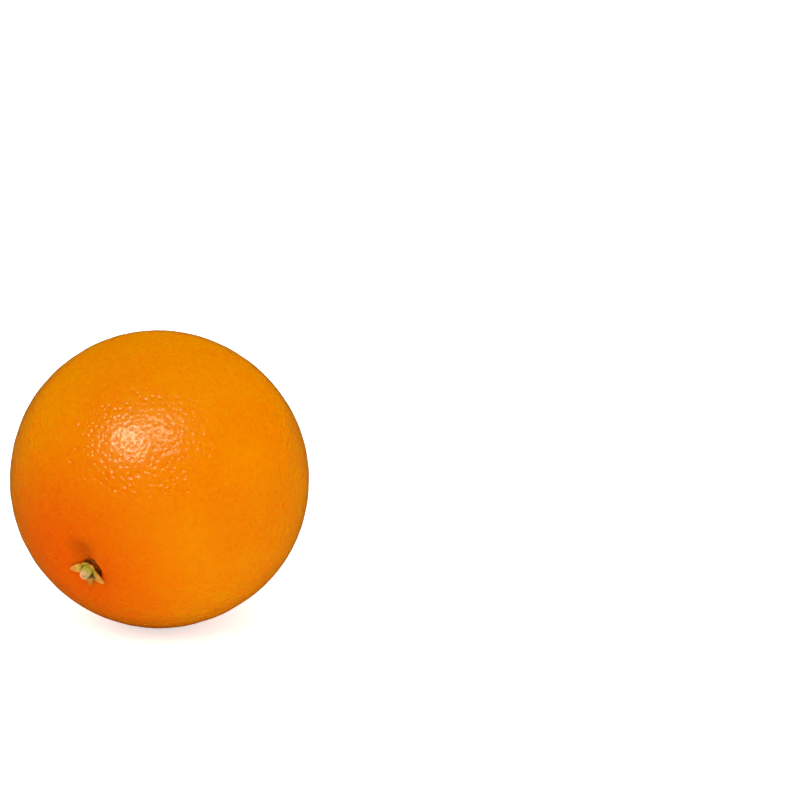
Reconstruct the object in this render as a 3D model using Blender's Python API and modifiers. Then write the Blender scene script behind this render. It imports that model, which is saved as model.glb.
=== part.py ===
"""A whole sweet orange, resting on its side on a small flat spot.

The fruit is a turned body with a hollow at each end. The dried calyx, a star of five sepals, lies
in the hollow of the stem end, and the stub of the stem stands in its middle.

Each piece is modelled in the fruit's own frame, with the stem end at +Z and the fruit's centre at
the origin, and is then tipped over so that the stem end is low, to the front and to the left.
"""

import math

import bmesh
import bpy

# ---------------------------------------------------------------------------------------------
# Driving dimensions, in metres and degrees
# ---------------------------------------------------------------------------------------------

FRUIT_WIDTH = 0.0800  # across the middle of the fruit
FRUIT_LENGTH = 0.0788  # from stem end to blossom end, over the rims of the hollows

STEM_HOLLOW_DEPTH = 0.0018  # below the rounded end of the fruit
STEM_HOLLOW_REACH = 0.0062  # from the axis to where the hollow has mostly faded out
SCAR_DEPTH = 0.0004  # the small round scar that the flower leaves
SCAR_REACH = 0.0018

REST_RADIUS = 0.0066  # of the flat spot that the fruit rests on

STEM_HEADING = 237.0  # which way the stem end points, seen from above, from +X towards +Y
STEM_DROOP = 21.5  # how far the stem end points below level

SEPALS = 5
SEPAL_REACH = 0.0050  # from the axis to the tip of a sepal
SEPAL_NOTCH = 0.0031  # from the axis to the notch between two sepals
SEPAL_THICKNESS = 0.0006
SEPAL_TURN = 55.0  # of the first sepal, about the stem

STEM_RADIUS = 0.00155
STEM_FOOT_RADIUS = 0.0019  # where the stem swells to meet the calyx
STEM_LENGTH = 0.0032  # from its foot to where it was clipped
STEM_EDGE = 0.0003  # the worn edge of the clipped end

GAP = 0.0003  # between pieces that touch

# How finely the round shapes are made
FRUIT_STEPS = 64
SHOULDER_RINGS = 30
HOLLOW_RINGS = 9
SCAR_RINGS = 4
SEPAL_SPOKES = 60
SEPAL_RINGS = 6
STEM_STEPS = 24
FOOT_RINGS = 4

WELD = 0.00001  # points closer than this are the same point

# Linear colours
PEEL_COLOUR = (0.83, 0.19, 0.006)
CALYX_COLOUR = (0.42, 0.26, 0.06)
STEM_COLOUR = (0.30, 0.25, 0.10)


# ---------------------------------------------------------------------------------------------
# The shape of the fruit
# ---------------------------------------------------------------------------------------------


def round_body(angle):
    """How far the fruit's round body reaches from its centre, at an angle from the stem end."""
    across = math.sin(angle) / (FRUIT_WIDTH / 2)
    along = math.cos(angle) / (FRUIT_LENGTH / 2)
    return 1 / math.hypot(across, along)


def dent(angle, depth, reach):
    """The depth of a rounded hollow, at an angle from its middle."""
    spread = reach / (FRUIT_LENGTH / 2)
    return depth * math.exp(-((angle / spread) ** 2))


def peel(angle):
    """How far the peel is from the fruit's centre, at an angle from the stem end."""
    stem_hollow = dent(angle, STEM_HOLLOW_DEPTH, STEM_HOLLOW_REACH)
    scar = dent(math.pi - angle, SCAR_DEPTH, SCAR_REACH)
    return round_body(angle) - stem_hollow - scar


def height_over_peel(out, clearance):
    """The height along the axis that clears the peel, at a distance out from the axis."""
    low, high = 0.0, math.pi / 2
    for _ in range(40):
        middle = (low + high) / 2
        if (peel(middle) + clearance) * math.sin(middle) < out:
            low = middle
        else:
            high = middle
    return (peel(low) + clearance) * math.cos(low)


def centre_height():
    """The height of the fruit's centre over the flat spot that it rests on."""
    droop = math.radians(STEM_DROOP)
    across = FRUIT_WIDTH / 2 * math.cos(droop)
    along = FRUIT_LENGTH / 2 * math.sin(droop)
    return math.sqrt(across**2 + along**2 - REST_RADIUS**2)


# ---------------------------------------------------------------------------------------------
# Helpers
# ---------------------------------------------------------------------------------------------


def clear_scene():
    """Remove every object that the file starts with."""
    for obj in list(bpy.data.objects):
        bpy.data.objects.remove(obj, do_unlink=True)


def new_collection(name):
    """Make a collection in the scene."""
    collection = bpy.data.collections.new(name)
    bpy.context.scene.collection.children.link(collection)
    return collection


def new_material(name, colour, roughness):
    """Make a plain material of one colour."""
    material = bpy.data.materials.new(name)
    material.use_nodes = True
    shader = material.node_tree.nodes["Principled BSDF"]
    shader.inputs["Base Color"].default_value = (*colour, 1.0)
    shader.inputs["Roughness"].default_value = roughness
    shader.inputs["Metallic"].default_value = 0.0
    return material


def new_object(name, mesh, collection):
    """Put a mesh in the scene as an object."""
    obj = bpy.data.objects.new(name, mesh)
    collection.objects.link(obj)
    return obj


def mesh_from(name, bm):
    """Turn a bmesh into a smooth mesh."""
    mesh = bpy.data.meshes.new(name)
    bm.to_mesh(mesh)
    bm.free()
    mesh.shade_smooth()
    return mesh


def profile_mesh(name, points):
    """A line through (out, up) points, ready to be turned about Z."""
    bm = bmesh.new()
    verts = [bm.verts.new((out, 0.0, up)) for out, up in points]
    for first, second in zip(verts, verts[1:]):
        bm.edges.new((first, second))
    return mesh_from(name, bm)


def turn_profile(obj, steps):
    """Turn an object's profile, which runs from top to bottom, into a solid about Z."""
    screw = obj.modifiers.new("turned", "SCREW")
    screw.axis = "Z"
    screw.angle = math.tau
    screw.steps = steps
    screw.render_steps = steps
    screw.use_merge_vertices = True
    screw.merge_threshold = WELD
    screw.use_smooth_shade = True


def spaced(first, last, count):
    """Evenly spaced numbers from first up to, but not including, last."""
    return [first + (last - first) * i / count for i in range(count)]


def tip_over(obj):
    """Tip a piece from the fruit's own frame to where it lies on the floor."""
    heading = math.radians(STEM_HEADING)
    lean = math.radians(90.0 + STEM_DROOP)
    obj.rotation_euler = (0.0, lean, heading)
    obj.location = (0.0, 0.0, centre_height())


# ---------------------------------------------------------------------------------------------
# The pieces
# ---------------------------------------------------------------------------------------------


def fruit_profile():
    """The fruit's outline from the stem end down to the blossom end, finer in the hollows."""
    hollow_edge = 2 * STEM_HOLLOW_REACH / (FRUIT_LENGTH / 2)
    scar_edge = math.pi - 2 * SCAR_REACH / (FRUIT_LENGTH / 2)
    angles = spaced(0.0, hollow_edge, HOLLOW_RINGS)
    angles += spaced(hollow_edge, scar_edge, SHOULDER_RINGS)
    angles += spaced(scar_edge, math.pi, SCAR_RINGS)
    points = [(peel(a) * math.sin(a), peel(a) * math.cos(a)) for a in angles]
    return points + [(0.0, -peel(math.pi))]


def build_floor_cutter(collection):
    """A block whose top face is the floor, which cuts the flat spot that the fruit rests on."""
    bm = bmesh.new()
    bmesh.ops.create_cube(bm, size=FRUIT_WIDTH)
    bmesh.ops.translate(bm, verts=bm.verts, vec=(0.0, 0.0, -FRUIT_WIDTH / 2))
    mesh = bpy.data.meshes.new("floor_cutter")
    bm.to_mesh(mesh)
    bm.free()
    cutter = new_object("floor_cutter", mesh, collection)
    cutter.hide_render = True
    cutter.display_type = "WIRE"
    return cutter


def build_fruit(collection, cutter):
    """The whole fruit: turned, tipped over, and cut flat where it rests."""
    fruit = new_object("fruit", profile_mesh("fruit", fruit_profile()), collection)
    fruit.data.materials.append(new_material("peel", PEEL_COLOUR, 0.38))
    turn_profile(fruit, FRUIT_STEPS)
    tip_over(fruit)
    cut = fruit.modifiers.new("flat_spot", "BOOLEAN")
    cut.operation = "DIFFERENCE"
    cut.solver = "EXACT"
    cut.object = cutter
    return fruit


def sepal_edge(turn):
    """How far the calyx reaches from the axis, at an angle around it."""
    lobe = 0.5 + 0.5 * math.cos(SEPALS * (turn - math.radians(SEPAL_TURN)))
    return SEPAL_NOTCH + (SEPAL_REACH - SEPAL_NOTCH) * lobe**1.5


def build_calyx(collection):
    """The star of sepals: a sheet laid over the hollow, round the foot of the stem, and thickened."""
    inner = STEM_FOOT_RADIUS + GAP
    bm = bmesh.new()
    bmesh.ops.create_grid(bm, x_segments=SEPAL_RINGS, y_segments=SEPAL_SPOKES, size=0.5)
    for vert in bm.verts:
        turn = (vert.co.y + 0.5) * math.tau
        out = inner + (vert.co.x + 0.5) * (sepal_edge(turn) - inner)
        up = height_over_peel(out, GAP)
        vert.co = (out * math.cos(turn), out * math.sin(turn), up)
    bmesh.ops.remove_doubles(bm, verts=bm.verts, dist=WELD)
    calyx = new_object("calyx", mesh_from("calyx", bm), collection)
    calyx.data.materials.append(new_material("calyx", CALYX_COLOUR, 0.6))
    thicken = calyx.modifiers.new("thickness", "SOLIDIFY")
    thicken.thickness = SEPAL_THICKNESS
    thicken.offset = 1.0
    tip_over(calyx)
    return calyx


def build_stem(collection):
    """The stub of the stem, which swells at its foot and has a worn edge where it was clipped."""
    foot = height_over_peel(STEM_FOOT_RADIUS, GAP)
    top = foot + STEM_LENGTH
    shoulder = top - STEM_EDGE
    flare_end = foot + SEPAL_THICKNESS + GAP
    points = [(0.0, top), (STEM_RADIUS - STEM_EDGE, top), (STEM_RADIUS, shoulder)]
    for i in range(1, FOOT_RINGS + 1):
        share = i / FOOT_RINGS
        flare = (STEM_FOOT_RADIUS - STEM_RADIUS) * share**3
        points.append((STEM_RADIUS + flare, shoulder + (flare_end - shoulder) * share))
    points += [(STEM_FOOT_RADIUS, foot), (0.0, foot)]
    stem = new_object("stem", profile_mesh("stem", points), collection)
    stem.data.materials.append(new_material("stem", STEM_COLOUR, 0.6))
    turn_profile(stem, STEM_STEPS)
    tip_over(stem)
    return stem


clear_scene()
orange = new_collection("orange")
cutters = new_collection("cutters")
build_fruit(orange, build_floor_cutter(cutters))
build_calyx(orange)
build_stem(orange)
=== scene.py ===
import math

import bmesh
import bpy
import numpy as np
from mathutils import Matrix, Vector, noise


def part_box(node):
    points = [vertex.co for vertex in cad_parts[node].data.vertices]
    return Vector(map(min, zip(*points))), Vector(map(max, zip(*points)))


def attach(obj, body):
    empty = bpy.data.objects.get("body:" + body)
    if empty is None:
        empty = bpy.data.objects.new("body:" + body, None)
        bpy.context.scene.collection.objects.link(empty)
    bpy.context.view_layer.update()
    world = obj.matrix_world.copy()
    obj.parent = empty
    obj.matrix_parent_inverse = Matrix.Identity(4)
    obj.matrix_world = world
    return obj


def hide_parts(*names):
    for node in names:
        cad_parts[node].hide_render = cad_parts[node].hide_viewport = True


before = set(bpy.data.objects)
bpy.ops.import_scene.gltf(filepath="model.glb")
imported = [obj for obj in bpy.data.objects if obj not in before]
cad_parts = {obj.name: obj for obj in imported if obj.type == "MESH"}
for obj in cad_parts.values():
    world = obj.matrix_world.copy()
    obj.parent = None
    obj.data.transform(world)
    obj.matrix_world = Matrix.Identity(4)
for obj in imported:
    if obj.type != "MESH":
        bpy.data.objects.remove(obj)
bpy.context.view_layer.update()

# =============================================================================================
# The fruit
#
# A sweet orange. It grew in one piece: a leathery peel, pitted all over its oil glands and
# polished by a thin wax, round a ball of juicy flesh. The peel is drawn in round the stem at one
# end, and has the small scar of the flower at the other.
# =============================================================================================

fruit_low, fruit_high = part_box("fruit")
stem_low, stem_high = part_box("stem")

fruit_radius = (fruit_high.x - fruit_low.x) / 2
fruit_middle = Vector((0.0, 0.0, fruit_high.z - fruit_radius))
stem_way = ((stem_low + stem_high) / 2 - fruit_middle).normalized()

# The fruit's own axes: z runs out through the stem, and x down the side of the fruit.
sideways = Vector((0.0, 0.0, 1.0)).cross(stem_way).normalized()
fruit_axes = Matrix((sideways.cross(stem_way), sideways, stem_way)).transposed()
fruit_place = Matrix.Translation(fruit_middle) @ fruit_axes.to_4x4()

CAGE_LEVELS = 7  # how often the cage is halved: points lie about half a millimetre apart
GATHER_SHARE = 0.55  # how much closer the points lie round the stem, where the shape is finest
GATHER_ANGLE = 0.45

END_FLATTENING = 0.016  # how much shorter the fruit is from end to end, as a share
HOLLOW_DEPTH = 0.0013  # the pocket round the stem
HOLLOW_REACH = 0.0054
DISH_DEPTH = 0.0008  # the broad dish that the pocket lies in
DISH_REACH = 0.0125
SCAR_DEPTH = 0.00045
SCAR_REACH = 0.0016
SCAR_RIM = 0.00012  # the height of the rim round the flower's scar

LUMP_HEIGHT = 0.00045  # broad unevenness from the way it grew
LUMP_SPREAD = 0.034
RIPPLE_HEIGHT = 0.00010  # slight waves in the skin
RIPPLE_SPREAD = 0.0046

FURROWS = 9  # short creases round the stem
FURROW_DEPTH = 0.00012
FURROW_REACH = 0.0085
FURROW_WANDER = 0.006  # from one bend in a crease to the next
FURROW_BENDS = 2.5
FURROW_SHARPNESS = 6
FOLD_TURN = math.radians(186.0)  # one broad shallow fold that runs up from the stem
FOLD_WIDTH = math.radians(42.0)
FOLD_DEPTH = 0.0013
FOLD_MIDDLE = 0.0062
FOLD_REACH = 0.0046
CREVICE_TURN = math.radians(104.0)  # the peel has shrunk away from the calyx on one side
CREVICE_WIDTH = math.radians(74.0)
CREVICE_REACH = 0.0034
CREVICE_SPREAD = 0.00050
CREVICE_DEPTH = 0.0010
LIP_HEIGHT = 0.00020  # the peel stands up a little along the crevice's outer side
LIP_SHIFT = 0.0012
LIP_SPREAD = 0.00065

PORE_SIZE = 0.00135  # from one oil gland to the next
PORE_DEPTH = 0.00022
PORE_SHIFT = 0.8  # how far the glands lie out of line, as a share of their size
PORE_SHIFT_FINENESS = 0.6
PORE_DISORDER = 0.8
PIT_EDGE = (0.05, 0.66)  # from a pit's middle to the ridge round it, as shares of its size
SWELL_SHARE = 0.55  # how high the skin swells between pores, as a share of their depth
SWELL_FINENESS = 1.25
MODELLED_SHARE = 0.35  # of the pores' depth, in the mesh; the rest is relief in the material


def mesh_points(mesh):
    """A mesh's points as rows of x, y, z."""
    points = np.empty(len(mesh.vertices) * 3)
    mesh.vertices.foreach_get("co", points)
    return points.reshape(-1, 3)


def set_points(mesh, points):
    """Move a mesh's points."""
    mesh.vertices.foreach_set("co", points.astype(np.float32).ravel())
    mesh.update()


def bake_modifiers(obj):
    """Give an object the mesh that its modifiers make, and remove them."""
    old = obj.data
    depsgraph = bpy.context.evaluated_depsgraph_get()
    made = bpy.data.meshes.new_from_object(obj.evaluated_get(depsgraph))
    obj.modifiers.clear()
    obj.data = made
    bpy.data.meshes.remove(old)
    made.name = obj.name


def new_piece(name, bm):
    """Turn a bmesh into a piece in the scene."""
    mesh = bpy.data.meshes.new(name)
    bm.to_mesh(mesh)
    bm.free()
    piece = bpy.data.objects.new(name, mesh)
    bpy.context.collection.objects.link(piece)
    return piece


def round_cage(name):
    """A cube smoothed into a ball of even quads, with every point one unit from the middle."""
    bm = bmesh.new()
    bmesh.ops.create_cube(bm, size=2.0)
    ball = new_piece(name, bm)
    smooth = ball.modifiers.new("smooth", "SUBSURF")
    smooth.levels = CAGE_LEVELS
    smooth.render_levels = CAGE_LEVELS
    bake_modifiers(ball)
    points = mesh_points(ball.data)
    set_points(ball.data, points / np.linalg.norm(points, axis=1)[:, None])
    return ball


def gather(ways):
    """Slide points on a ball towards the stem, so that they lie closest together round it."""
    angles = np.arccos(np.clip(ways[:, 2], -1.0, 1.0))
    slid = angles * (1.0 - GATHER_SHARE * bell(angles, GATHER_ANGLE))
    scale = np.sin(slid) / np.maximum(np.sin(angles), 1e-9)
    return np.column_stack((ways[:, 0] * scale, ways[:, 1] * scale, np.cos(slid)))


def waves(points, spread, seed):
    """Smooth random waves between about -1 and 1, of a given spread, at each point."""
    shift = Vector((7.3, 3.1, 5.7)) * seed
    basis = "PERLIN_NEW"
    return np.array([noise.noise(Vector(p) / spread + shift, noise_basis=basis) for p in points])


def bell(distances, reach):
    """1 in the middle, fading out smoothly at about the reach."""
    return np.exp(-((distances / reach) ** 2))


def hollow(from_stem):
    """The depth of the hollow round the stem, at a distance from its middle along the peel."""
    return HOLLOW_DEPTH * bell(from_stem, HOLLOW_REACH) + DISH_DEPTH * bell(from_stem, DISH_REACH)


def turned_from(turns, middle):
    """How far each turn is from a given one, the short way round."""
    return (turns - middle + math.pi) % math.tau - math.pi


fruit = round_cage("orange_peel")
ways = gather(mesh_points(fruit.data))
from_stem = np.arccos(np.clip(ways[:, 2], -1.0, 1.0)) * fruit_radius
from_scar = math.pi * fruit_radius - from_stem
turns = np.arctan2(ways[:, 1], ways[:, 0])

reach = fruit_radius * (1.0 - END_FLATTENING * ways[:, 2] ** 2)
skin = ways * fruit_radius
reach += LUMP_HEIGHT * waves(skin, LUMP_SPREAD, 1)
reach += RIPPLE_HEIGHT * waves(skin, RIPPLE_SPREAD, 2)
reach -= hollow(from_stem)
reach -= SCAR_DEPTH * bell(from_scar, SCAR_REACH)
reach += SCAR_RIM * bell(from_scar - 2.0 * SCAR_REACH, SCAR_REACH)

crease = np.cos(FURROWS / 2 * turns + FURROW_BENDS * waves(skin, FURROW_WANDER, 3))
crease **= FURROW_SHARPNESS
reach -= FURROW_DEPTH * crease * bell(from_stem - FURROW_REACH / 2, FURROW_REACH / 2)
fold = bell(turned_from(turns, FOLD_TURN), FOLD_WIDTH)
reach -= FOLD_DEPTH * fold * bell(from_stem - FOLD_MIDDLE, FOLD_REACH)
shrunk = bell(turned_from(turns, CREVICE_TURN), CREVICE_WIDTH)
reach -= CREVICE_DEPTH * shrunk * bell(from_stem - CREVICE_REACH, CREVICE_SPREAD)
reach += LIP_HEIGHT * shrunk * bell(from_stem - CREVICE_REACH - LIP_SHIFT, LIP_SPREAD)

set_points(fruit.data, ways * reach[:, None])
fruit.data.transform(fruit_place)


class Nodes:
    """Lays out one node tree and joins it up."""

    def __init__(self, tree):
        self.tree = tree

    def add(self, kind, inputs=None, **settings):
        """Add a node, set it up, and fill or join its inputs."""
        node = self.tree.nodes.new(kind)
        for name, value in settings.items():
            setattr(node, name, value)
        for name, value in (inputs or {}).items():
            if isinstance(value, bpy.types.NodeSocket):
                self.tree.links.new(value, node.inputs[name])
            else:
                node.inputs[name].default_value = value
        return node

    def scaled(self, value, low, high, to_low, to_high):
        """A value carried smoothly from one range to another, and held there."""
        node = self.add(
            "ShaderNodeMapRange",
            {"Value": value, "From Min": low, "From Max": high, "To Min": to_low, "To Max": to_high},
            interpolation_type="SMOOTHSTEP",
        )
        return node.outputs["Result"]

    def mixed(self, share, first, second):
        """A colour between two colours."""
        node = self.add("ShaderNodeMix", {0: share, 6: first, 7: second}, data_type="RGBA")
        return node.outputs[2]

    def maths(self, operation, first, second):
        """One sum on two values."""
        node = self.add("ShaderNodeMath", {0: first, 1: second}, operation=operation)
        return node.outputs[0]

    def noise(self, place, fineness, detail):
        """Random clouds, with a given number of them to the metre."""
        return self.add("ShaderNodeTexNoise", {"Vector": place, "Scale": fineness, "Detail": detail})

    def distance(self, place, point):
        """How far a place is from a point."""
        node = self.add("ShaderNodeVectorMath", {0: place, 1: point}, operation="DISTANCE")
        return node.outputs["Value"]

    def patch(self, place, middle, core, reach, share):
        """A soft round patch: a share as far out as its core, and nothing beyond its reach."""
        return self.scaled(self.distance(place, middle), core, reach, share, 0.0)

    def relief(self, height, depth, strength=1.0):
        """The surface's direction once a height has been pressed into it."""
        node = self.add("ShaderNodeBump", {"Height": height, "Distance": depth, "Strength": strength})
        return node.outputs[0]


def pores(nodes, place):
    """How high the skin stands: 0 at the bottom of a pore, 1 on the ridges between pores."""
    shift = nodes.noise(place, PORE_SHIFT_FINENESS / PORE_SIZE, 1.0)
    shifted = nodes.add(
        "ShaderNodeVectorMath",
        {0: shift.outputs["Color"], 1: (PORE_SIZE * PORE_SHIFT,) * 3, 2: place},
        operation="MULTIPLY_ADD",
    )
    glands = nodes.add(
        "ShaderNodeTexVoronoi",
        {"Vector": shifted.outputs[0], "Scale": 1.0 / PORE_SIZE, "Randomness": PORE_DISORDER},
        feature="F1",
    )
    pits = nodes.scaled(glands.outputs["Distance"], *PIT_EDGE, 0.0, 1.0)
    swell = nodes.noise(place, SWELL_FINENESS / PORE_SIZE, 1.0)
    swells = nodes.maths("MULTIPLY", nodes.maths("SUBTRACT", swell.outputs["Fac"], 0.5), SWELL_SHARE)
    return nodes.maths("ADD", pits, swells)


def press_pores(piece):
    """Press the pores into a piece's mesh."""
    tree = bpy.data.node_groups.new("pressed_pores", "GeometryNodeTree")
    for way in ("INPUT", "OUTPUT"):
        tree.interface.new_socket(name="Geometry", in_out=way, socket_type="NodeSocketGeometry")
    nodes = Nodes(tree)
    start = nodes.add("NodeGroupInput")
    place = nodes.add("GeometryNodeInputPosition").outputs[0]
    outward = nodes.add("GeometryNodeInputNormal").outputs[0]
    height = nodes.maths("SUBTRACT", pores(nodes, place), 1.0)
    depth = nodes.maths("MULTIPLY", height, PORE_DEPTH * MODELLED_SHARE)
    shift = nodes.add("ShaderNodeVectorMath", {0: outward, "Scale": depth}, operation="SCALE")
    moved = nodes.add(
        "GeometryNodeSetPosition", {"Geometry": start.outputs[0], "Offset": shift.outputs[0]}
    )
    nodes.add("NodeGroupOutput", {0: moved.outputs[0]})
    press = piece.modifiers.new("pores", "NODES")
    press.node_group = tree
    bake_modifiers(piece)


press_pores(fruit)
points = mesh_points(fruit.data)
points[:, 2] = np.maximum(points[:, 2], fruit_low.z)
set_points(fruit.data, points)
fruit.data.shade_smooth()

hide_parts("fruit")
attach(fruit, "root")


def new_material(name):
    """An empty material, ready for its nodes."""
    material = bpy.data.materials.new(name)
    material.use_nodes = True
    material.node_tree.nodes.clear()
    return material, Nodes(material.node_tree)


def finish_material(nodes, shader_inputs):
    """Give a material its surface."""
    shader = nodes.add("ShaderNodeBsdfPrincipled", shader_inputs)
    nodes.add("ShaderNodeOutputMaterial", {"Surface": shader.outputs[0]})


PEEL_GOLD = (0.74, 0.230, 0.0, 1.0)  # linear colours
PEEL_ORANGE = (0.73, 0.202, 0.0, 1.0)
# a deeper orange round the stem, partly painted shade on the stem's side away from the light
PEEL_DEEP_AND_SHADE = (0.68, 0.095, 0.0, 1.0)
GLAND_ORANGE = (0.66, 0.112, 0.0, 1.0)
SCAR_BROWN = (0.28, 0.14, 0.04, 1.0)
# painted shadow in the crevice beside the calyx
CREVICE_SHADOW_BROWN = (0.19, 0.026, 0.001, 1.0)
# painted shade in the broad fold above the stem
FOLD_SHADE_BROWN = (0.42, 0.060, 0.0, 1.0)

# Soft round patches of another colour: how wide the core is, how far it reaches, and how strong.
DEEP_AND_SHADE_PATCH = (0.006, 0.042, 1.0)
DEEP_SHADE_SHIFT = 0.008  # it lies to one side of the stem, away from the light, as painted shade
# painted shade where the broad fold turns away from the light
FOLD_SHADE_PATCH = (0.0005, 0.0056, 0.65)
FOLD_SHADE_DROP = 0.0015  # below the fruit's full radius
CREVICE_SHADOW_SHARE = 0.95
CREVICE_SHADOW_PATCH = (0.0029, 0.0035, CREVICE_SHADOW_SHARE)  # painted shadow: the crevice is painted dark brown
CREVICE_SHADOW_TURN = math.radians(65.0)
CREVICE_SHADOW_SHIFT = 0.0009
CREVICE_SHADOW_DROP = 0.0026
CREVICE_SHADOW_WAX = 0.15  # how much of the wax's gloss is kept over the painted shadow
SCAR_PATCH = (0.0008, 0.0020, 1.0)

CLOUD_FINENESS = 45.0
GOLD_EDGE = (0.35, 0.68)  # where the clouds turn from orange to gold
GLAND_SHARE = 0.16  # of the glands' own colour, at the bottom of a pore
GLAND_EDGE = 0.9  # the height in a pore where that ends
GRAIN_FINENESS = 1700.0
GRAIN_SHARE = 0.10
EDGE_ON = (0.45, 0.95)  # from nearly face on to nearly edge on
EDGE_ON_SHARE = 0.25  # of the relief in the wax that still shows there
WAX_DEPTH = 0.65 * PORE_DEPTH  # relief in the wax
WAX_ROUGHNESS = 0.11
FLESH_DEPTH = 0.18 * PORE_DEPTH  # and in the peel under it
FLESH_ROUGHNESS = (0.26, 0.34)
FLESH_GLOW = 0.005  # how far red light spreads under the skin
FLESH_GLOW_COLOURS = (1.0, 0.25, 0.05)  # and green and blue light, as shares of that


def beside_stem(turn, out, up):
    """A place given by its turn round the stem, how far out it is and how far up the axis."""
    return fruit_place @ Vector((out * math.cos(turn), out * math.sin(turn), up))


deep_and_shade_middle = fruit_middle + stem_way * fruit_radius - sideways * DEEP_SHADE_SHIFT
scar_end = fruit_middle - stem_way * fruit_radius
crevice_shadow_middle = beside_stem(CREVICE_SHADOW_TURN, CREVICE_SHADOW_SHIFT, fruit_radius - CREVICE_SHADOW_DROP)
fold_shade_middle = beside_stem(FOLD_TURN, FOLD_MIDDLE, fruit_radius - FOLD_SHADE_DROP)


def peel_material():
    """Waxed peel: clouds of gold and orange, deeper round the stem and over each gland, with painted
    shade to one side of the stem and in a fold, and a painted shadow in the crevice by the calyx.
    """
    material, nodes = new_material("peel")
    place = nodes.add("ShaderNodeTexCoord").outputs["Object"]
    height = pores(nodes, place)

    clouds = nodes.noise(place, CLOUD_FINENESS, 3.0).outputs["Fac"]
    colour = nodes.mixed(nodes.scaled(clouds, *GOLD_EDGE, 0.0, 1.0), PEEL_ORANGE, PEEL_GOLD)
    # deeper orange round the stem, partly painted shade to one side of it
    colour = nodes.mixed(nodes.patch(place, deep_and_shade_middle, *DEEP_AND_SHADE_PATCH), colour, PEEL_DEEP_AND_SHADE)
    gland = nodes.scaled(height, 0.0, GLAND_EDGE, GLAND_SHARE, 0.0)
    colour = nodes.mixed(gland, colour, GLAND_ORANGE)
    # painted shade in the fold
    colour = nodes.mixed(nodes.patch(place, fold_shade_middle, *FOLD_SHADE_PATCH), colour, FOLD_SHADE_BROWN)
    # painted shadow in the crevice beside the calyx
    crevice_shadowed = nodes.patch(place, crevice_shadow_middle, *CREVICE_SHADOW_PATCH)
    colour = nodes.mixed(crevice_shadowed, colour, CREVICE_SHADOW_BROWN)
    colour = nodes.mixed(nodes.patch(place, scar_end, *SCAR_PATCH), colour, SCAR_BROWN)

    grain = nodes.noise(place, GRAIN_FINENESS, 2.0).outputs["Fac"]
    rough = nodes.add(
        "ShaderNodeMath", {0: grain, 1: GRAIN_SHARE, 2: height}, operation="MULTIPLY_ADD"
    ).outputs[0]
    # Seen edge on, the gloss down in the pores hides behind the swells between them.
    facing = nodes.add("ShaderNodeLayerWeight").outputs["Facing"]
    open_share = nodes.scaled(facing, *EDGE_ON, 1.0, EDGE_ON_SHARE)
    finish_material(
        nodes,
        {
            "Base Color": colour,
            "Roughness": nodes.scaled(clouds, 0.3, 0.7, *FLESH_ROUGHNESS),
            "Normal": nodes.relief(rough, FLESH_DEPTH),
            "IOR": 1.45,
            "Specular IOR Level": 0.6,
            "Subsurface Weight": 1.0,
            "Subsurface Radius": FLESH_GLOW_COLOURS,
            "Subsurface Scale": FLESH_GLOW,
            "Coat Weight": nodes.scaled(crevice_shadowed, 0.0, CREVICE_SHADOW_SHARE, 1.0, CREVICE_SHADOW_WAX),
            "Coat Roughness": WAX_ROUGHNESS,
            "Coat Normal": nodes.relief(rough, WAX_DEPTH, open_share),
        },
    )
    return material


fruit.data.materials.append(peel_material())

# =============================================================================================
# The calyx
#
# Five small sepals, joined in a ring, that once wrapped the bud. They have dried to a stiff straw
# colour, still green where they meet the stem, and lie in the hollow with their tips lifted.
# =============================================================================================

SEPALS = (  # turn in degrees, length, how far the tip lifts, how far it bends sideways in degrees
    (57.0, 0.0058, 0.0008, 0.0),
    (128.0, 0.0032, 0.0008, 5.0),
    (205.0, 0.0025, 0.0006, -6.0),
    (270.0, 0.0056, 0.0003, 7.0),
    (352.0, 0.0054, 0.0001, 2.0),
)
SEPAL_NOTCH = 0.0023  # from the axis to the notch between two sepals
SEPAL_THICKNESS = 0.00055
SEPAL_EDGE = 0.00022
RIB_HEIGHT = 0.00016
RIM_HEIGHT = 0.00035  # of the swollen ring round the stem
RIM_WAY_OUT = 0.22
RIM_SPREAD = 0.16
SEPAL_HALF_TURN = math.radians(37.0)
SEPAL_TAPER = 1.25  # 1 gives straight sides
TIP_ROUNDING = 0.03
BEND_HALF_TURN = 0.6
WRINKLE = 0.00012
WRINKLE_FINENESS = 1300.0
FINE_WRINKLE_SHARE = 0.6
FINE_WRINKLES_OUT = 2600.0
FINE_WRINKLES_ROUND = 9.0
CALYX_GAP = 0.0001  # over the peel
STEM_FOOT = 0.0017

CALYX_SPOKES = 220
CALYX_RINGS = 22


def closed_grid(name, rows, spokes, place):
    """A piece made by wrapping a grid of rows round an axis. place gives each row and turn a point."""
    bm = bmesh.new()
    bmesh.ops.create_grid(bm, x_segments=rows, y_segments=spokes, size=0.5)
    for vert in bm.verts:
        row = round((vert.co.x + 0.5) * rows)
        vert.co = place(row, (vert.co.y + 0.5) * math.tau)
    bmesh.ops.remove_doubles(bm, verts=bm.verts, dist=1e-7)
    bmesh.ops.recalc_face_normals(bm, faces=bm.faces)
    piece = new_piece(name, bm)
    piece.data.shade_smooth()
    return piece


def peel_height(out):
    """How far up the fruit's axis the peel is, at a distance out from the axis."""
    angle = math.asin(out / fruit_radius)
    reach = fruit_radius * (1.0 - END_FLATTENING * math.cos(angle) ** 2)
    return (reach - float(hollow(out))) * math.cos(angle)


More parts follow.
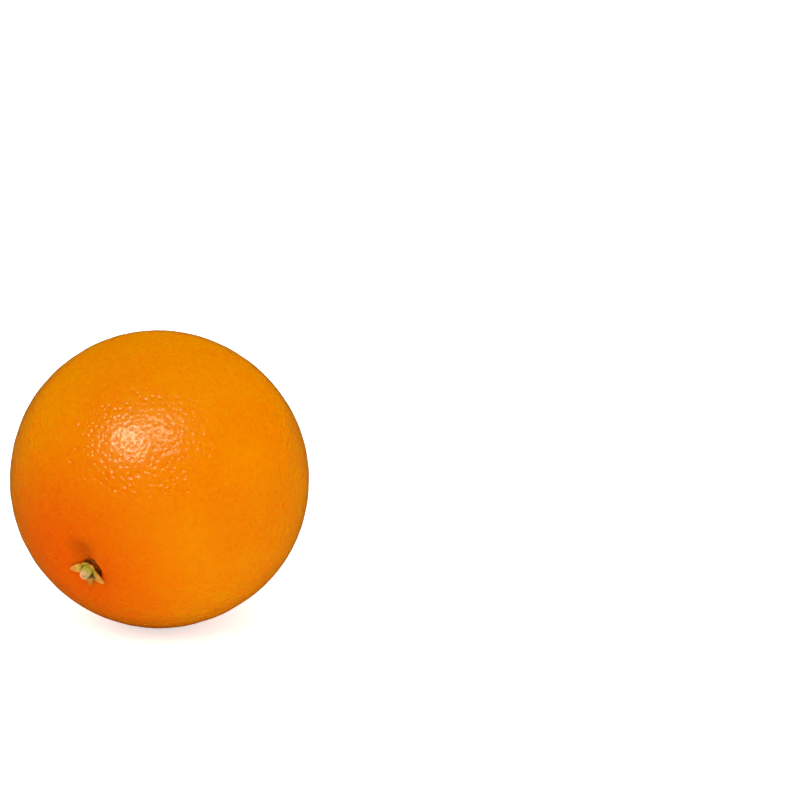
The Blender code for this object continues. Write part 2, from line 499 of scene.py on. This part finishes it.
def sepal_at(turn):
    """The calyx at a turn: its reach, the lift of its tip, and 1 on a sepal's rib, 0 in a notch."""
    best = (SEPAL_NOTCH, 0.0, 0.0)
    for middle, length, lift, _ in SEPALS:
        off = abs(turned_from(turn, math.radians(middle))) / SEPAL_HALF_TURN
        if off < 1.0:
            taper = (1.0 - math.hypot(off, TIP_ROUNDING)) ** SEPAL_TAPER if off < 0.99 else 0.0
            out = SEPAL_NOTCH + (length - SEPAL_NOTCH) * taper
            if out >= best[0]:
                best = (out, lift, 1.0 - off)
    return best


def sepal_bend(turn):
    """How far the tip of the sepal at a turn swings sideways, in radians."""
    bend = 0.0
    for middle, _, _, tip_bend in SEPALS:
        off = abs(turned_from(turn, math.radians(middle)))
        bend += math.radians(tip_bend) * max(0.0, 1.0 - off / BEND_HALF_TURN)
    return bend


def calyx_point(row, turn):
    """A point on the calyx. The rows run out along its underside and back over the top."""
    under = row < CALYX_RINGS or row == 2 * CALYX_RINGS
    step = row % (2 * CALYX_RINGS) if under else 2 * CALYX_RINGS - 1 - row
    share = step / (CALYX_RINGS - 1)
    tip, lift, rib = sepal_at(turn)
    out = STEM_FOOT + share * (tip - STEM_FOOT)
    rough = noise.noise(Vector((math.cos(turn), math.sin(turn), 0.0)) * out * WRINKLE_FINENESS)
    up = peel_height(out) + CALYX_GAP + lift * share**2 + WRINKLE * rough * share
    if not under:
        up += SEPAL_EDGE + (SEPAL_THICKNESS - SEPAL_EDGE) * (1.0 - share**2)
        up += RIB_HEIGHT * rib**4 * (1.0 - share)
        up += RIM_HEIGHT * float(bell(share - RIM_WAY_OUT, RIM_SPREAD))
        fine = noise.noise(Vector((out * FINE_WRINKLES_OUT, turn * FINE_WRINKLES_ROUND, 4.0)))
        up += WRINKLE * FINE_WRINKLE_SHARE * fine
    swung = turn + sepal_bend(turn) * share**2
    return fruit_place @ Vector((out * math.cos(swung), out * math.sin(swung), up))


calyx = closed_grid("dried_calyx", 2 * CALYX_RINGS, CALYX_SPOKES, calyx_point)
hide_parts("calyx")
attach(calyx, "root")

CALYX_STRAW = (0.66, 0.33, 0.035, 1.0)
CALYX_TAN = (0.48, 0.20, 0.012, 1.0)
CALYX_TIP = (0.70, 0.23, 0.02, 1.0)
CALYX_GREEN = (0.42, 0.31, 0.005, 1.0)
CALYX_BROWN = (0.09, 0.04, 0.006, 1.0)
# painted shade on the lower sepal
CALYX_DULL_SHADE = (0.42, 0.17, 0.005, 1.0)
# painted shadow in the cleft beside the stem
MOAT_SHADOW_OLIVE = (0.09, 0.05, 0.001, 1.0)


def new_group(name, inputs, outputs):
    """An empty shader node group with named inputs and outputs."""
    group = bpy.data.node_groups.new(name, "ShaderNodeTree")
    for socket, kind in inputs:
        group.interface.new_socket(name=socket, in_out="INPUT", socket_type=kind)
    for socket, kind in outputs:
        group.interface.new_socket(name=socket, in_out="OUTPUT", socket_type=kind)
    return group, Nodes(group)


COARSE_SHARE = 0.35  # how fine the patches are, next to the specks
PATCH_EDGE = (0.35, 0.65)
SPECK_EDGE = (0.56, 0.70)


def dried_fibres_group():
    """Mottled dried plant fibre: broad patches, fine dark specks, and how high the surface is."""
    group, nodes = new_group(
        "dried_fibres",
        (("Place", "NodeSocketVector"), ("Fineness", "NodeSocketFloat")),
        (("Patches", "NodeSocketFloat"), ("Specks", "NodeSocketFloat"), ("Height", "NodeSocketFloat")),
    )
    start = nodes.add("NodeGroupInput")
    place, fineness = start.outputs["Place"], start.outputs["Fineness"]
    fine = nodes.noise(place, fineness, 4.0).outputs["Fac"]
    coarse = nodes.noise(place, nodes.maths("MULTIPLY", fineness, COARSE_SHARE), 2.0).outputs["Fac"]
    patches = nodes.scaled(coarse, *PATCH_EDGE, 0.0, 1.0)
    specks = nodes.scaled(fine, *SPECK_EDGE, 0.0, 1.0)
    height = nodes.maths("ADD", fine, patches)
    nodes.add("NodeGroupOutput", {"Patches": patches, "Specks": specks, "Height": height})
    return group


dried_fibres = dried_fibres_group()

SEPAL_FINENESS = 1800.0
SEPAL_RELIEF = 0.00006
SEPAL_SPECKS = 0.45
GREEN_PATCH = (0.0020, 0.0031, 0.85)  # round the calyx's middle
TIP_EDGE = (0.0034, 0.0056)  # out from there
TIP_SHARE = 0.85
MOAT_SHADOW_PATCH = (0.0011, 0.0021, 0.9)  # painted shadow in the cleft between the calyx and one side of the stem
MOAT_SHADOW_TURN = math.radians(20.0)
MOAT_SHADOW_OUT = 0.0018
MOAT_SHADOW_UP = 0.0020
DULL_SHADE_PATCH = (0.0012, 0.0030, 0.8)  # painted shade on the lower sepal
DULL_SHADE_TURN = math.radians(352.0)
DULL_SHADE_OUT = 0.0052
DULL_SHADE_UP = 0.0008

calyx_middle = beside_stem(0.0, 0.0, peel_height(0.0))
moat_shadow_middle = beside_stem(MOAT_SHADOW_TURN, MOAT_SHADOW_OUT, peel_height(0.0) + MOAT_SHADOW_UP)
dull_shade_middle = beside_stem(DULL_SHADE_TURN, DULL_SHADE_OUT, peel_height(0.0) + DULL_SHADE_UP)


def calyx_material():
    """Dry sepals: patches of straw and tan, green in the middle, brown specks and orange tips, with a
    painted shadow beside the stem and painted shade on the lower sepal.
    """
    material, nodes = new_material("calyx")
    place = nodes.add("ShaderNodeTexCoord").outputs["Object"]
    fibres = nodes.add(
        "ShaderNodeGroup", {"Place": place, "Fineness": SEPAL_FINENESS}, node_tree=dried_fibres
    )
    colour = nodes.mixed(fibres.outputs["Patches"], CALYX_STRAW, CALYX_TAN)
    colour = nodes.mixed(nodes.patch(place, calyx_middle, *GREEN_PATCH), colour, CALYX_GREEN)
    tip = nodes.scaled(nodes.distance(place, calyx_middle), *TIP_EDGE, 0.0, TIP_SHARE)
    colour = nodes.mixed(tip, colour, CALYX_TIP)
    specks = nodes.maths("MULTIPLY", fibres.outputs["Specks"], SEPAL_SPECKS)
    colour = nodes.mixed(specks, colour, CALYX_BROWN)
    # painted shadow in the cleft beside the stem
    colour = nodes.mixed(nodes.patch(place, moat_shadow_middle, *MOAT_SHADOW_PATCH), colour, MOAT_SHADOW_OLIVE)
    # painted shade on the lower sepal
    colour = nodes.mixed(nodes.patch(place, dull_shade_middle, *DULL_SHADE_PATCH), colour, CALYX_DULL_SHADE)
    finish_material(
        nodes,
        {
            "Base Color": colour,
            "Roughness": nodes.scaled(fibres.outputs["Patches"], 0.0, 1.0, 0.55, 0.75),
            "Normal": nodes.relief(fibres.outputs["Height"], SEPAL_RELIEF),
            "Specular IOR Level": 0.35,
        },
    )
    return material


calyx.data.materials.append(calyx_material())

# =============================================================================================
# The stem
#
# The last few millimetres of the woody stem, where the fruit was clipped from the tree: grey-green
# bark, swollen where it joins the calyx, round paler wood that shows at the clipped end.
# =============================================================================================

STEM_RADIUS = 0.00140
STEM_END_RADIUS = 0.00116
STEM_LENGTH = 0.0029
STEM_LEAN = 0.00040  # how far the clipped end leans over
STEM_LEAN_TURN = math.radians(346.0)
STEM_RIBS = 7
STEM_RIB_HEIGHT = 0.00007
STEM_ROUGHNESS = 0.00006
STEM_END_ROUGHNESS = 0.00005
STEM_LUMPS_ROUND = 2.5  # how close the bark's lumps lie, round the stem and from row to row
STEM_LUMPS_UP = 0.25
STEM_EDGE_ROUNDING = 0.00014
WOOD_SWELL = 0.00010  # across the clipped end
PITH_DEPTH = 0.00018

STEM_ROWS = 30
STEM_SPOKES = 72
BARK_ROWS = 20

stem_foot_height = peel_height(STEM_FOOT) + CALYX_GAP


def stem_point(row, turn):
    """A point on the stem. The rows run up the bark from the foot, then in across the clipped end."""
    up_bark = min(row / BARK_ROWS, 1.0)
    in_end = max(0.0, (row - BARK_ROWS) / (STEM_ROWS - BARK_ROWS))
    swell = (STEM_FOOT - STEM_RADIUS) * (1.0 - up_bark) ** 4
    radius = STEM_RADIUS + (STEM_END_RADIUS - STEM_RADIUS) * up_bark**2 + swell
    ribs_fade = math.sin(math.pi * min(1.0, up_bark * 1.1))
    radius += STEM_RIB_HEIGHT * math.cos(STEM_RIBS * turn) * ribs_fade
    radius -= STEM_EDGE_ROUNDING * up_bark**16
    around = (math.cos(turn) * STEM_LUMPS_ROUND, math.sin(turn) * STEM_LUMPS_ROUND)
    rough = noise.noise(Vector((*around, row * STEM_LUMPS_UP)))
    radius += STEM_ROUGHNESS * rough * (1.0 - in_end)
    radius *= 1.0 - in_end
    up = stem_foot_height + STEM_LENGTH * up_bark
    up += WOOD_SWELL * math.sin(math.pi * in_end) - PITH_DEPTH * in_end**3
    up += STEM_END_ROUGHNESS * rough * (1.0 - in_end)
    lean = STEM_LEAN * up_bark**2
    x = radius * math.cos(turn) + lean * math.cos(STEM_LEAN_TURN)
    y = radius * math.sin(turn) + lean * math.sin(STEM_LEAN_TURN)
    return fruit_place @ Vector((x, y, up))


stem = closed_grid("stem_stub", STEM_ROWS, STEM_SPOKES, stem_point)
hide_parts("stem")
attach(stem, "root")

BARK_OLIVE = (0.40, 0.30, 0.01, 1.0)
BARK_GREY = (0.50, 0.36, 0.16, 1.0)
WOOD_TAN = (0.72, 0.33, 0.12, 1.0)
# painted shade on one side of the clipped end
WOOD_SHADE_GREY = (0.40, 0.27, 0.09, 1.0)
PITH_BROWN = (0.30, 0.14, 0.07, 1.0)
BARK_FINENESS = 2400.0
BARK_RELIEF = 0.00005
BARK_SPECKS = 0.4
WOOD_PATCH = (0.00115, 0.00135, 1.0)  # round the middle of the clipped end
COLLAR_PATCH = (0.0012, 0.0020, 0.8)  # the drier bark just under it
GREY_EDGE = (0.0014, 0.0026)
GREY_LEFT = 0.15  # beyond that
# painted shadow on the bark, in the cleft beside the calyx
STEM_MOAT_SHADOW_PATCH = (0.0005, 0.0014, 0.95)
SHADE_SIDE_PATCH = (0.0004, 0.0017, 1.0)  # painted shade: greyer wood on one side of the clipped end
PITH_PATCH = (0.0002, 0.0006, 0.8)

stem_top = beside_stem(STEM_LEAN_TURN, STEM_LEAN, stem_foot_height + STEM_LENGTH)
stem_shade_side = stem_top + (fruit_axes @ Vector((0.0, 1.0, 0.0))) * STEM_END_RADIUS


def stem_material():
    """Grey-green bark with a painted shadow beside the calyx, and pale wood with a darker pith and a
    painted-shade grey side at the clipped end.
    """
    material, nodes = new_material("stem")
    place = nodes.add("ShaderNodeTexCoord").outputs["Object"]
    fibres = nodes.add(
        "ShaderNodeGroup", {"Place": place, "Fineness": BARK_FINENESS}, node_tree=dried_fibres
    )
    grey = nodes.scaled(nodes.distance(place, stem_top), *GREY_EDGE, 1.0, GREY_LEFT)
    grey = nodes.maths("MULTIPLY", grey, fibres.outputs["Patches"])
    bark = nodes.mixed(grey, BARK_OLIVE, BARK_GREY)
    bark = nodes.mixed(nodes.patch(place, stem_top, *COLLAR_PATCH), bark, BARK_GREY)
    # painted shadow in the cleft beside the calyx
    bark = nodes.mixed(nodes.patch(place, moat_shadow_middle, *STEM_MOAT_SHADOW_PATCH), bark, MOAT_SHADOW_OLIVE)
    specks = nodes.maths("MULTIPLY", fibres.outputs["Specks"], BARK_SPECKS)
    bark = nodes.mixed(specks, bark, CALYX_BROWN)
    # painted shade on one side of the clipped end
    wood = nodes.mixed(nodes.patch(place, stem_shade_side, *SHADE_SIDE_PATCH), WOOD_TAN, WOOD_SHADE_GREY)
    wood = nodes.mixed(nodes.patch(place, stem_top, *PITH_PATCH), wood, PITH_BROWN)
    colour = nodes.mixed(nodes.patch(place, stem_top, *WOOD_PATCH), bark, wood)
    finish_material(
        nodes,
        {
            "Base Color": colour,
            "Roughness": 0.7,
            "Normal": nodes.relief(fibres.outputs["Height"], BARK_RELIEF),
            "Specular IOR Level": 0.3,
        },
    )
    return material


stem.data.materials.append(stem_material())

# =============================================================================================
# The floor, the lights and the camera
#
# A plain white sheet, lit by a soft light from the upper left, a weaker one from above and a broad
# one from the upper right, with soft light from all round.
# =============================================================================================

FLOOR_SIZE = 40.0
FLOOR_DROP = 0.0001  # keeps the floor clear of the flat spot that rests on it
FLOOR_WHITE = 0.93
FLOOR_UNEVENNESS = 0.01
FLOOR_GLOW = 0.45  # light that comes up through the sheet
FLOOR_GLOW_SEEN = 0.60  # and how bright it looks from the camera
SHADE_SHARE = 0.05  # how much of that light is left close under the fruit
SHADE_REACH = 0.034
FLOOR_IN_GLOSS = (0.16, 0.06, 0.01, 1.0)  # how much of the floor the glossy skin mirrors

LIGHTS = (  # name, the way towards it, how wide it looks from the fruit in degrees, strength
    ("main", Vector((-0.375, -0.617, 0.69)), 24.0, 0.82),
    ("second", Vector((0.06, -0.628, 0.777)), 16.0, 0.24),
    ("fill", Vector((0.20, -0.50, 0.84)), 60.0, 0.30),
)
LIGHT_COLOUR = (0.92, 1.0, 0.70)
SKY_LEFT = 0.64  # how bright the room is on the two sides
SKY_RIGHT = 0.98
PLAIN_WHITE = (1.0, 1.0, 1.0, 1.0)
SKY_IN_GLOSS = (0.88, 0.30, 0.0, 1.0)  # a warm dim room that the glossy skin mirrors

CAMERA_RISE = 19.0  # degrees above level
CAMERA_DISTANCE = 0.75
CAMERA_LENS = 126.2
AIM_RIGHT = 0.0648
AIM_UP = 0.0191

bm = bmesh.new()
bmesh.ops.create_grid(bm, x_segments=12, y_segments=12, size=FLOOR_SIZE / 2)
bmesh.ops.translate(bm, verts=bm.verts, vec=(0.0, 0.0, -FLOOR_DROP))
floor = new_piece("floor", bm)
floor_material, nodes = new_material("white_sheet")
ray = nodes.add("ShaderNodeLightPath")
grain = nodes.add("ShaderNodeTexNoise", {"Scale": 60.0, "Detail": 4.0})
darkest, whitest = FLOOR_WHITE - FLOOR_UNEVENNESS, FLOOR_WHITE + FLOOR_UNEVENNESS
white = nodes.scaled(grain.outputs["Fac"], 0.0, 1.0, darkest, whitest)
mirrored = nodes.mixed(ray.outputs["Is Glossy Ray"], PLAIN_WHITE, FLOOR_IN_GLOSS)
lit = nodes.add("ShaderNodeVectorMath", {0: mirrored, "Scale": white}, operation="SCALE")
place = nodes.add("ShaderNodeTexCoord").outputs["Object"]
from_fruit = nodes.add("ShaderNodeVectorMath", {0: place}, operation="LENGTH").outputs["Value"]
glow = nodes.scaled(from_fruit, 0.0, SHADE_REACH, FLOOR_GLOW * SHADE_SHARE, FLOOR_GLOW)
glow = nodes.scaled(ray.outputs["Is Camera Ray"], 0.0, 1.0, glow, FLOOR_GLOW_SEEN)
finish_material(
    nodes,
    {
        "Base Color": lit.outputs[0],
        "Roughness": 0.9,
        "Specular IOR Level": 0.0,
        "Emission Color": mirrored,
        "Emission Strength": glow,
    },
)
floor_material.cycles.emission_sampling = "NONE"
floor.data.materials.append(floor_material)


def add_sun(name, way, spread, strength):
    """A soft light from far away, which lights the floor evenly."""
    light = bpy.data.lights.new(name, "SUN")
    light.angle = math.radians(spread)
    light.energy = strength
    sun = bpy.data.objects.new(name, light)
    bpy.context.collection.objects.link(sun)
    sun.rotation_euler = way.to_track_quat("Z", "Y").to_euler()
    return sun


for name, way, spread, strength in LIGHTS:
    sun = add_sun(name, way, spread, strength)
    sun.data.color = LIGHT_COLOUR
    sun.visible_glossy = name != "fill"

world = bpy.data.worlds.new("studio")
bpy.context.scene.world = world
world.use_nodes = True
world.node_tree.nodes.clear()
nodes = Nodes(world.node_tree)
way = nodes.add("ShaderNodeSeparateXYZ", {0: nodes.add("ShaderNodeTexCoord").outputs["Generated"]})
ray = nodes.add("ShaderNodeLightPath")
sky = nodes.add(
    "ShaderNodeMapRange",
    {"Value": way.outputs["X"], "From Min": -1.0, "To Min": SKY_LEFT, "To Max": SKY_RIGHT},
)
brightness = nodes.scaled(ray.outputs["Is Camera Ray"], 0.0, 1.0, sky.outputs[0], 1.0)
tint = nodes.mixed(ray.outputs["Is Glossy Ray"], PLAIN_WHITE, SKY_IN_GLOSS)
studio = nodes.add("ShaderNodeBackground", {"Color": tint, "Strength": brightness})
nodes.add("ShaderNodeOutputWorld", {"Surface": studio.outputs[0]})
world.cycles.sampling_method = "NONE"

camera_data = bpy.data.cameras.new("camera")
camera_data.lens = CAMERA_LENS
camera_data.sensor_width = 36.0
camera_data.clip_end = 100.0
camera = bpy.data.objects.new("camera", camera_data)
bpy.context.collection.objects.link(camera)
rise = math.radians(CAMERA_RISE)
towards = Vector((0.0, -math.cos(rise), math.sin(rise)))
upwards = Vector((0.0, math.sin(rise), math.cos(rise)))
camera.location = fruit_middle + towards * CAMERA_DISTANCE
aim_at = fruit_middle + Vector((AIM_RIGHT, 0.0, 0.0)) + upwards * AIM_UP
camera.rotation_euler = (aim_at - camera.location).to_track_quat("-Z", "Y").to_euler()
bpy.context.scene.camera = camera
bpy.context.scene.view_settings.view_transform = "Standard"
